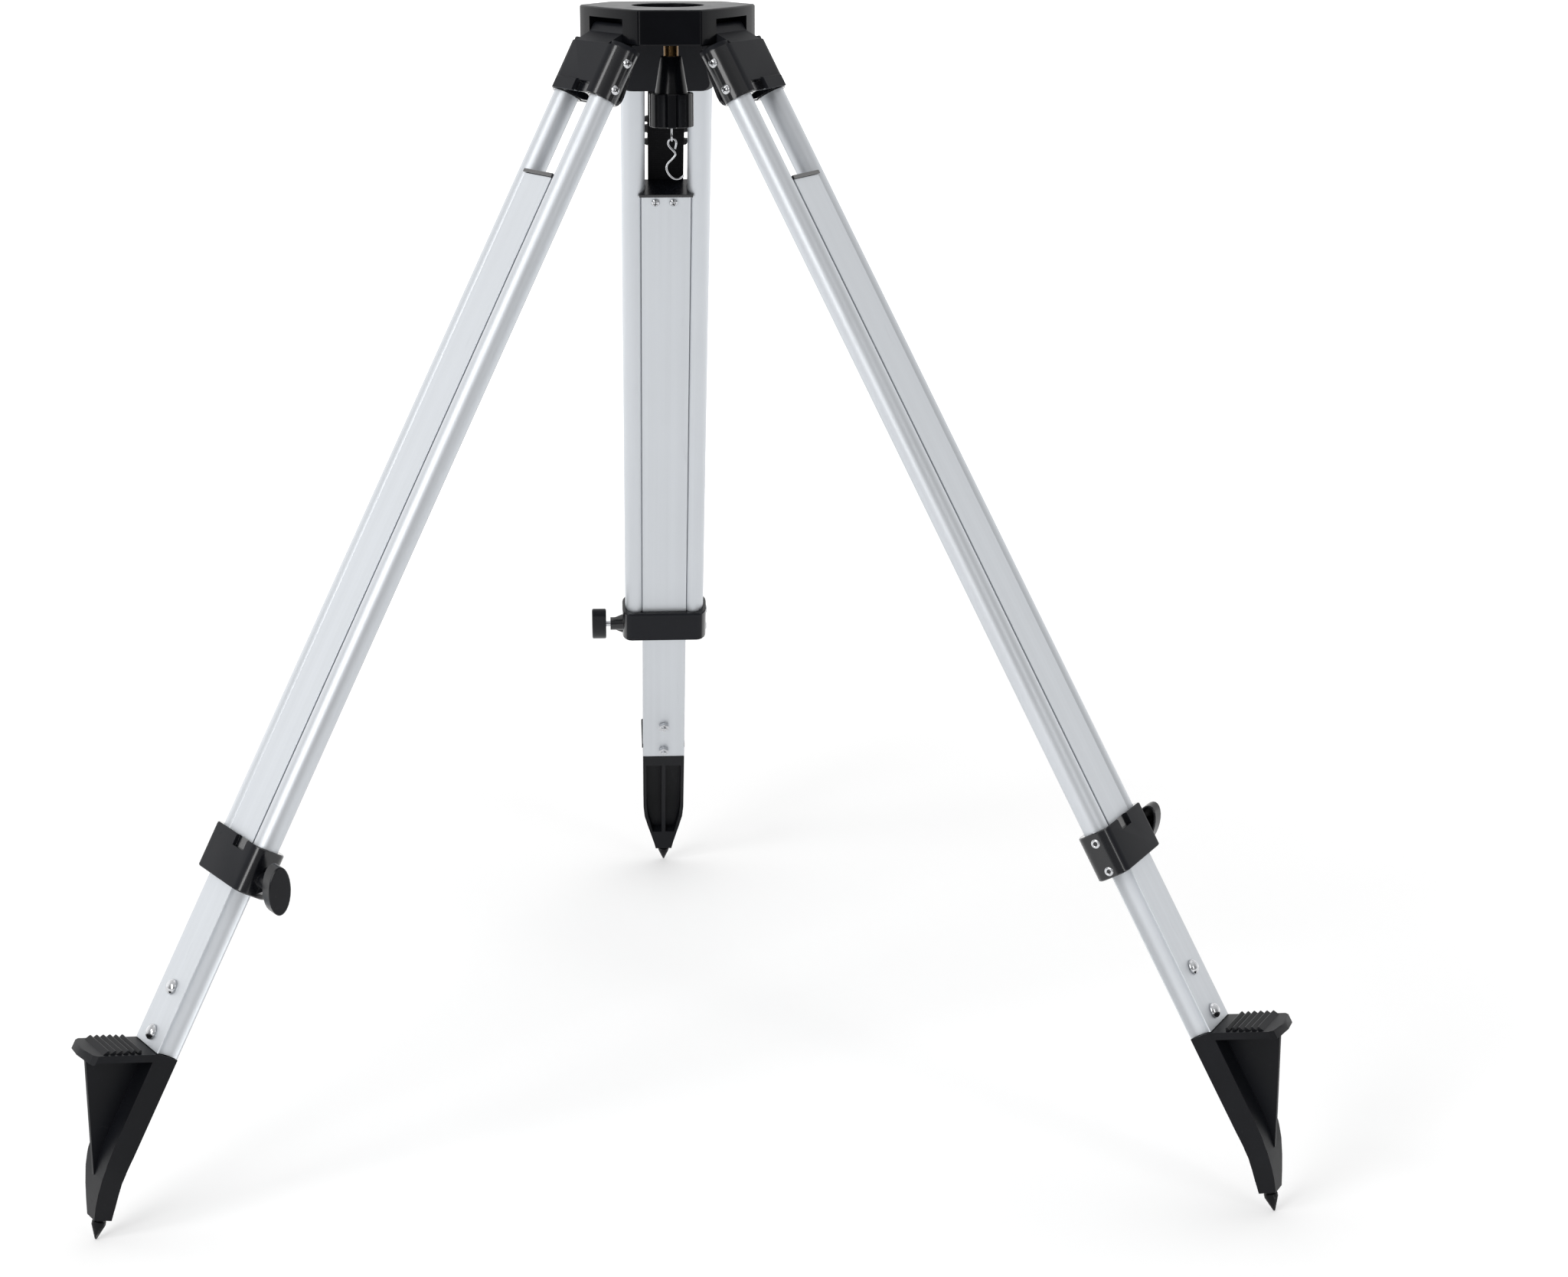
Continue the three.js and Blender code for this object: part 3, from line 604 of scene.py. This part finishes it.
class TripodSizes(bpy.types.PropertyGroup):
    """Small sizes that the finishing uses"""

    edge: bpy.props.FloatProperty(
        name="Moulded edge",
        description="Radius of the moulded parts' edges",
        subtype="DISTANCE",
        unit="LENGTH",
        default=0.6 * MM,
    )
    fine_edge: bpy.props.FloatProperty(
        name="Metal edge",
        description="Radius of the metal parts' edges",
        subtype="DISTANCE",
        unit="LENGTH",
        default=0.3 * MM,
    )
    screw_radius: bpy.props.FloatProperty(
        name="Screw head",
        description="Radius of the cross-recess screw heads",
        subtype="DISTANCE",
        unit="LENGTH",
        default=4.1 * MM,
    )
    rivet_radius: bpy.props.FloatProperty(
        name="Rivet head",
        description="Radius of the tubular rivets in the clamp collars",
        subtype="DISTANCE",
        unit="LENGTH",
        default=4.0 * MM,
    )
    bolt_radius: bpy.props.FloatProperty(
        name="Foot bolt head",
        description="Radius of the domed bolt heads above the shoes",
        subtype="DISTANCE",
        unit="LENGTH",
        default=6.7 * MM,
    )
    tube_wall: bpy.props.FloatProperty(
        name="Tube wall",
        description="Wall thickness of the upper leg tubes",
        subtype="DISTANCE",
        unit="LENGTH",
        default=1.4 * MM,
    )


class TripodStage(bpy.types.PropertyGroup):
    """Camera and light"""

    lens: bpy.props.FloatProperty(
        name="Lens",
        description="Focal length of the camera on a 36 mm sensor",
        subtype="DISTANCE_CAMERA",
        default=70.04,
    )
    camera_offset: bpy.props.FloatVectorProperty(
        name="Camera place",
        description="Camera from the head's axis, with its height above the floor",
        subtype="TRANSLATION",
        default=(-0.05785, -2.69148, 1.15876),
    )
    camera_down: bpy.props.FloatProperty(
        name="Camera tilt",
        description="How far the camera looks down",
        subtype="ANGLE",
        default=0.26,
    )
    camera_turn: bpy.props.FloatProperty(
        name="Camera turn",
        description="How far the camera is turned to the right",
        subtype="ANGLE",
        default=0.058847,
    )
    key_power: bpy.props.FloatProperty(
        name="Key light",
        description="Power of the large soft light at the front left",
        subtype="POWER",
        default=28.0,
    )
    world_strength: bpy.props.FloatProperty(
        name="Surrounding light",
        description="Brightness of the white surroundings",
        default=1.0,
    )


# ---- models of repeated fasteners -------------------------------------------------------------
def upright_cylinder(vertices, radius, depth, middle):
    """A new cylinder on the z axis."""
    bpy.ops.object.select_all(action="DESELECT")
    bpy.ops.mesh.primitive_cylinder_add(
        vertices=vertices, radius=radius, depth=depth, location=(0.0, 0.0, middle)
    )
    return bpy.context.active_object


def dome(name, radius, rim, steps, vertices=40):
    """A round head on z = 0: a low rim, then insets that rise into a dome."""
    model = upright_cylinder(vertices, radius, rim, rim / 2)
    model.name = name
    apply_transform(model)
    pick(model, lambda middle, normal: normal.z > 0.9 and middle.z > rim * 0.9)
    for inward, upward in steps:
        bpy.ops.mesh.inset(thickness=inward, depth=upward)
    leave_edit()
    return model


def mark_painted_recess_shade(model, top, reach):
    """Marks the vertices inside a fastener's recess, below its top and near its axis, for painted shade."""
    marks = model.data.attributes.new(PAINTED_RECESS_SHADE, "FLOAT", "POINT")
    for vertex, mark in zip(model.data.vertices, marks.data):
        mark.value = float(vertex.co.z < top and vertex.co.xy.length < reach)


def cross_screw_model(radius):
    """Pan-head screw with a cross recess cut by two tapering bars."""
    steps = [(0.12, 0.2), (0.16, 0.16), (0.2, 0.1), (0.2, 0.04)]
    model = dome("cross_screw", radius, radius * 0.28, [(radius * a, radius * b) for a, b in steps])
    top = radius * 0.8
    for long_x, long_y in ((1.24, 0.26), (0.26, 1.24)):
        bpy.ops.object.select_all(action="DESELECT")
        bpy.ops.mesh.primitive_cube_add(size=1.0, location=(0.0, 0.0, top))
        cutter = bpy.context.active_object
        cutter.scale = (radius * long_x, radius * long_y, radius * 0.62)
        apply_transform(cutter)
        pick(cutter, lambda middle, normal: normal.z < -0.9)
        bpy.ops.transform.resize(value=(0.72, 0.72, 1.0))
        leave_edit()
        modify(model, "BOOLEAN", operation="DIFFERENCE", solver="EXACT", object=cutter)
        discard(cutter)
    round_edges(model, radius * 0.035, 2, 30.0, 40.0)
    # Painted shade in the cross recess.
    mark_painted_recess_shade(model, radius * 0.6, radius * 0.7)
    return model


def rivet_model(radius):
    """Tubular rivet: a rolled flange round an open bore."""
    steps = [(0.1, 0.1), (0.14, 0.05), (0.16, 0.0), (0.12, -0.05), (0.06, -0.12), (0.03, -0.3)]
    rises = [(radius * a, radius * b) for a, b in steps]
    model = dome("tubular_rivet", radius, radius * 0.16, rises, 44)
    round_edges(model, radius * 0.03, 2, 40.0, 50.0)
    # Painted shade in the open bore.
    mark_painted_recess_shade(model, radius * 0.12, radius * 0.5)
    return model


def foot_bolt_model(radius, grip):
    """Domed bolt head over its washer on z = 0, shank, and a chamfered nut at the far side."""
    steps = [(0.05, 0.1), (0.11, 0.15), (0.17, 0.14), (0.2, 0.1), (0.2, 0.05), (0.16, 0.015)]
    head = dome("foot_bolt", radius, radius * 0.2, [(radius * a, radius * b) for a, b in steps], 48)
    shank = upright_cylinder(28, radius * 0.44, grip + radius, -(grip + radius) / 2)
    pick(shank, lambda middle, normal: normal.z < -0.9)
    bpy.ops.mesh.inset(thickness=radius * 0.07, depth=radius * 0.07)
    leave_edit()
    nut = upright_cylinder(6, radius * 0.87, radius * 0.62, -grip - radius * 0.33)
    pick(nut, lambda middle, normal: abs(normal.z) > 0.9)
    bpy.ops.mesh.inset(thickness=radius * 0.1, depth=radius * 0.05)
    leave_edit()
    for part in (head, shank, nut):
        apply_transform(part)
    alone(head)
    shank.select_set(True)
    nut.select_set(True)
    bpy.ops.object.join()
    round_edges(head, radius * 0.025, 2, 32.0, 45.0)
    return head


# ---- operators --------------------------------------------------------------------------------
class TRIPOD_OT_head(bpy.types.Operator):
    """Finishes the head plate, the screw arm and the instrument screw"""

    bl_idname = "tripod.head"
    bl_label = "Head and screw"

    def execute(self, context):
        sizes = context.scene.tripod_sizes
        refine("head_plate", finish_named("head"), 0.9 * MM, 3)
        refine("screw_arm", finish_named("head"), sizes.fine_edge)
        refine("arm_pivot_bolt", finish_named("steel"), sizes.fine_edge)
        refine("screw_bush", finish_named("knob"), sizes.fine_edge)
        refine("centre_stud", finish_named("brass"), 0.12 * MM)
        refine("stud_ring", finish_named("steel"), 0.25 * MM)
        refine("screw_knob", finish_named("knob"), 0.5 * MM, 3)
        for leg in LEGS:
            refine(f"hinge_pin_{leg}", finish_named("steel"), sizes.fine_edge)
        return {"FINISHED"}


class TRIPOD_OT_hinges(bpy.types.Operator):
    """Finishes the hinge housings and adds their side screws"""

    bl_idname = "tripod.hinges"
    bl_label = "Hinge housings"

    def execute(self, context):
        sizes = context.scene.tripod_sizes
        screw = cross_screw_model(sizes.screw_radius)
        for leg in LEGS:
            node = f"hinge_housing_{leg}"
            refine(node, finish_named("plastic"), sizes.edge, 3)
            place = leg_matrix(leg)
            _, high = extent(node, place)
            for side in (-1.0, 1.0):
                for row, down in enumerate(HOUSING_SCREW_ROWS):
                    spot = Vector((side * (high.x - 0.35 * MM), -HOUSING_SCREW_INWARD, down))
                    tilt = Matrix.Rotation(side * 0.3 + 0.8 * row, 4, "Z")
                    lean = Vector((side, 0.0, 0.0))
                    name = f"housing_screw_{leg}_{'ab'[side > 0]}{row + 1}"
                    piece = placed_copy(screw, name, place @ turned_to(lean, spot) @ tilt)
                    finish_piece(piece, BODY_OF[node], finish_named("steel"), leg)
        discard(screw)
        return {"FINISHED"}


class TRIPOD_OT_tubes(bpy.types.Operator):
    """Makes the six upper tubes as open anodised tubes"""

    bl_idname = "tripod.tubes"
    bl_label = "Upper tubes"

    def execute(self, context):
        sizes = context.scene.tripod_sizes
        for leg in LEGS:
            place = leg_matrix(leg)
            for label in "ab":
                node = f"upper_tube_{label}_{leg}"
                low, high = extent(node, place)
                middle = (low + high) / 2
                radius = (high.y - low.y) / 2
                bpy.ops.object.select_all(action="DESELECT")
                bpy.ops.mesh.primitive_cylinder_add(
                    vertices=72,
                    radius=radius,
                    depth=high.z - low.z,
                    end_fill_type="NOTHING",
                    location=middle,
                )
                tube = bpy.context.active_object
                tube.name = f"{node}_finished"
                apply_transform(tube)
                wall = sizes.tube_wall
                modify(tube, "SOLIDIFY", thickness=wall, offset=-1.0, use_even_offset=True)
                round_edges(tube, 0.3 * MM, 2, 50.0, 50.0)
                tube.matrix_world = place
                apply_transform(tube)
                finish_piece(tube, BODY_OF[node], finish_named("tube"), leg, [node])
        return {"FINISHED"}


class TRIPOD_OT_clamps(bpy.types.Operator):
    """Finishes the clamp collars, their screws and knobs, and adds the rivets"""

    bl_idname = "tripod.clamps"
    bl_label = "Leg clamps"

    def execute(self, context):
        sizes = context.scene.tripod_sizes
        rivet = rivet_model(sizes.rivet_radius)
        for leg in LEGS:
            node = f"clamp_collar_{leg}"
            refine(node, finish_named("plastic"), sizes.edge, 3)
            refine(f"clamp_screw_{leg}", finish_named("steel"), sizes.fine_edge)
            refine(f"clamp_knob_{leg}", finish_named("knob"), 1.0 * MM, 4)
            place = leg_matrix(leg)
            low, _ = extent(node, place)
            for row, down in enumerate(RIVET_ROWS):
                spot = Vector((low.x + SEATED, RIVET_OUTWARD, down))
                name = f"collar_rivet_{leg}_{row + 1}"
                piece = placed_copy(rivet, name, place @ turned_to((-1.0, 0.0, 0.0), spot))
                finish_piece(piece, BODY_OF[node], finish_named("steel"), leg)
        discard(rivet)
        return {"FINISHED"}


class TRIPOD_OT_lower_legs(bpy.types.Operator):
    """Finishes the sliding profiles and their caps, and adds the cap screws"""

    bl_idname = "tripod.lower_legs"
    bl_label = "Lower legs"

    def execute(self, context):
        sizes = context.scene.tripod_sizes
        screw = cross_screw_model(sizes.screw_radius * 0.98)
        for leg in LEGS:
            node = f"lower_profile_{leg}"
            refine(node, finish_named("profile"), 0.35 * MM, 3)
            refine(f"top_cap_{leg}", finish_named("plastic"), sizes.edge, 3)
            place = leg_matrix(leg)
            low, _ = extent(node, place)
            for row, across in enumerate(CAP_SCREW_PLACES):
                spot = Vector((across, low.y + 0.1 * MM, low.z + CAP_SCREW_DEPTH))
                tilt = Matrix.Rotation(0.4 + row, 4, "Z")
                turned = place @ turned_to((0.0, -1.0, 0.0), spot) @ tilt
                piece = placed_copy(screw, f"cap_screw_{leg}_{row + 1}", turned)
                finish_piece(piece, BODY_OF[node], finish_named("steel"), leg)
        discard(screw)
        return {"FINISHED"}


def tread_rib(leg, outward):
    """One more rib for a shoe's tread: a slanted bar across it, sunk into its top."""
    place = leg_matrix(leg)
    low, high = extent(f"foot_shoe_{leg}", place)
    top = low.z + TREAD_DEPTH + (outward - TREAD_START) * TREAD_SLOPE
    middle = Vector((0.0, outward + 1.7 * MM, top))
    bpy.ops.object.select_all(action="DESELECT")
    bpy.ops.mesh.primitive_cube_add(size=1.0, location=middle)
    rib = bpy.context.active_object
    rib.name = f"tread_rib_{leg}_{round(outward / MM)}"
    rib.scale = (high.x - low.x - RIB_LENGTH_SPARE, RIB_WIDTH, RIB_HEIGHT)
    apply_transform(rib)
    pick(rib, lambda point, normal: normal.z < -0.9)
    bpy.ops.transform.resize(value=(1.0, 0.35, 1.0))
    leave_edit()
    round_edges(rib, 0.3 * MM, 2)
    rib.matrix_world = place
    apply_transform(rib)
    finish_piece(rib, BODY_OF[f"foot_shoe_{leg}"], finish_named("shoe"), leg)


class TRIPOD_OT_feet(bpy.types.Operator):
    """Finishes the shoes and spikes, adds two tread ribs to each shoe and makes the foot bolts"""

    bl_idname = "tripod.feet"
    bl_label = "Feet"

    def execute(self, context):
        sizes = context.scene.tripod_sizes
        for leg in LEGS:
            refine(f"foot_shoe_{leg}", finish_named("shoe"), 0.5 * MM, 3)
            refine(f"foot_spike_{leg}", finish_named("spike"), sizes.fine_edge)
            for outward in TREAD_RIBS:
                tread_rib(leg, outward)
            place = leg_matrix(leg)
            face_low, face_high = extent(f"lower_profile_{leg}", place)
            for row in (1, 2):
                node = f"foot_bolt_{row}_{leg}"
                low, high = extent(node, place)
                grip = face_high.y - face_low.y + 2 * SEATED
                model = foot_bolt_model(sizes.bolt_radius, grip)
                spot = Vector((0.0, face_high.y + SEATED, (low.z + high.z) / 2))
                turned = place @ turned_to((0.0, 1.0, 0.0), spot)
                piece = placed_copy(model, f"{node}_finished", turned)
                discard(model)
                finish_piece(piece, BODY_OF[node], finish_named("steel"), leg, [node])
        return {"FINISHED"}


class TRIPOD_OT_strap(bpy.types.Operator):
    """Weaves the tie strap and finishes its buckle"""

    bl_idname = "tripod.strap"
    bl_label = "Tie strap"

    def execute(self, context):
        place = leg_matrix("rear")
        low, high = extent("strap_webbing", place)
        middle = (low + high) / 2
        bpy.ops.object.select_all(action="DESELECT")
        bpy.ops.mesh.primitive_cube_add(size=1.0, location=middle)
        strap = bpy.context.active_object
        strap.name = "strap_webbing_finished"
        strap.scale = high - low
        apply_transform(strap)
        bpy.ops.object.mode_set(mode="EDIT")
        bpy.ops.mesh.select_all(action="SELECT")
        bpy.ops.mesh.subdivide(number_cuts=WEBBING_CUTS)
        leave_edit()
        round_edges(strap, 0.45 * MM, 3, 40.0, 50.0)
        strap.matrix_world = place
        apply_transform(strap)
        node = "strap_webbing"
        finish_piece(strap, BODY_OF[node], finish_named("webbing"), "rear", [node])
        refine("strap_buckle", finish_named("knob"), 0.5 * MM, 3)
        return {"FINISHED"}


class TRIPOD_OT_hook(bpy.types.Operator):
    """Rounds the bent wire hook and the ring it hangs in"""

    bl_idname = "tripod.hook"
    bl_label = "Plumb hook"

    def execute(self, context):
        for node in ("hook_pin", "s_hook"):
            piece = copy_of_part(node, f"{node}_finished", join_flats=False)
            modify(piece, "SUBSURF", subdivision_type="SIMPLE", levels=1, render_levels=1)
            modify(piece, "SMOOTH", factor=0.5, iterations=2)
            smooth(piece, 60.0)
            finish_piece(piece, BODY_OF[node], finish_named("steel"), None, [node])
        return {"FINISHED"}


class TRIPOD_OT_stage(bpy.types.Operator):
    """Adds the floor, the soft light and the camera"""

    bl_idname = "tripod.stage"
    bl_label = "Stage"

    def execute(self, context):
        settings = context.scene.tripod_stage
        bpy.ops.object.select_all(action="DESELECT")
        bpy.ops.mesh.primitive_plane_add(size=60.0, location=(0.0, 12.0, -0.0002))
        floor = bpy.context.active_object
        floor.name = "studio_floor"
        apply_transform(floor)
        floor.data.materials.append(studio_floor("pale_floor", (0.88, 0.88, 0.88)))
        self.add_world(context, settings.world_strength)
        axis = head_axis()
        aim = axis - Vector((0.0, 0.0, LIT_MIDDLE))
        for name, (spot, size, share) in LIGHTS.items():
            self.add_light(name, spot, aim, size, settings.key_power * share)
        across, back, height = settings.camera_offset
        camera = bpy.data.cameras.new("camera")
        camera.lens = settings.lens
        camera.sensor_width = 36.0
        camera.clip_end = 200.0
        holder = bpy.data.objects.new("camera", camera)
        holder.location = (axis.x + across, axis.y + back, height)
        holder.rotation_euler = (math.pi / 2 - settings.camera_down, 0.0, -settings.camera_turn)
        context.scene.collection.objects.link(holder)
        context.scene.camera = holder
        context.scene.view_settings.view_transform = "Standard"
        return {"FINISHED"}

    def add_light(self, name, spot, aim, size, power):
        light = bpy.data.lights.new(name, "AREA")
        light.shape = "RECTANGLE"
        light.size, light.size_y = size
        light.energy = power
        holder = bpy.data.objects.new(name, light)
        holder.location = spot
        holder.rotation_euler = (aim - Vector(spot)).to_track_quat("-Z", "Y").to_euler()
        bpy.context.scene.collection.objects.link(holder)

    def add_world(self, context, strength):
        world = bpy.data.worlds.new("studio")
        nodes = Nodes(world)
        x, y, z = nodes.parts(nodes.node("TexCoord", output="Generated"))
        back = y.ramp(-0.35, 0.45)
        level = 0.32 + back * (0.88 - 0.2 * x)
        above = z.ramp(0.25, 1.0)
        level = level + above * (0.75 - level)
        below = z.ramp(0.0, -0.2)
        level = level + below * (0.5 - level)
        light = nodes.node("Background", values={"Color": level, "Strength": strength})
        output = nodes.tree.nodes.new("ShaderNodeOutputWorld")
        nodes.tree.links.new(light.socket, output.inputs["Surface"])
        context.scene.world = world


class TRIPOD_PT_panel(bpy.types.Panel):
    """Lists the finishing steps and their settings"""

    bl_idname = "TRIPOD_PT_panel"
    bl_label = "Surveyor tripod"
    bl_space_type = "VIEW_3D"
    bl_region_type = "UI"
    bl_category = "Tripod"

    def draw(self, context):
        layout = self.layout
        for name in ("tripod_finish", "tripod_sizes", "tripod_stage"):
            group = getattr(context.scene, name)
            box = layout.box()
            box.label(text=type(group).__doc__)
            for key in group.__annotations__:
                box.prop(group, key)
        for operator in OPERATORS:
            layout.operator(operator.bl_idname)


GROUPS = {"tripod_finish": TripodFinish, "tripod_sizes": TripodSizes, "tripod_stage": TripodStage}
OPERATORS = (
    TRIPOD_OT_stage,
    TRIPOD_OT_head,
    TRIPOD_OT_hinges,
    TRIPOD_OT_tubes,
    TRIPOD_OT_clamps,
    TRIPOD_OT_lower_legs,
    TRIPOD_OT_feet,
    TRIPOD_OT_strap,
    TRIPOD_OT_hook,
)


def register():
    """Registers the settings, operators and panel."""
    for name, group in GROUPS.items():
        bpy.utils.register_class(group)
        setattr(bpy.types.Scene, name, bpy.props.PointerProperty(type=group))
    for operator in OPERATORS:
        bpy.utils.register_class(operator)
    bpy.utils.register_class(TRIPOD_PT_panel)


def unregister():
    """Takes the panel, operators and settings away again."""
    bpy.utils.unregister_class(TRIPOD_PT_panel)
    for operator in reversed(OPERATORS):
        bpy.utils.unregister_class(operator)
    for name, group in reversed(GROUPS.items()):
        delattr(bpy.types.Scene, name)
        bpy.utils.unregister_class(group)


def main():
    """Registers the add-on and builds everything in order."""
    register()
    for operator in OPERATORS:
        group, name = operator.bl_idname.split(".")
        getattr(getattr(bpy.ops, group), name)()


if __name__ == "__main__":
    main()
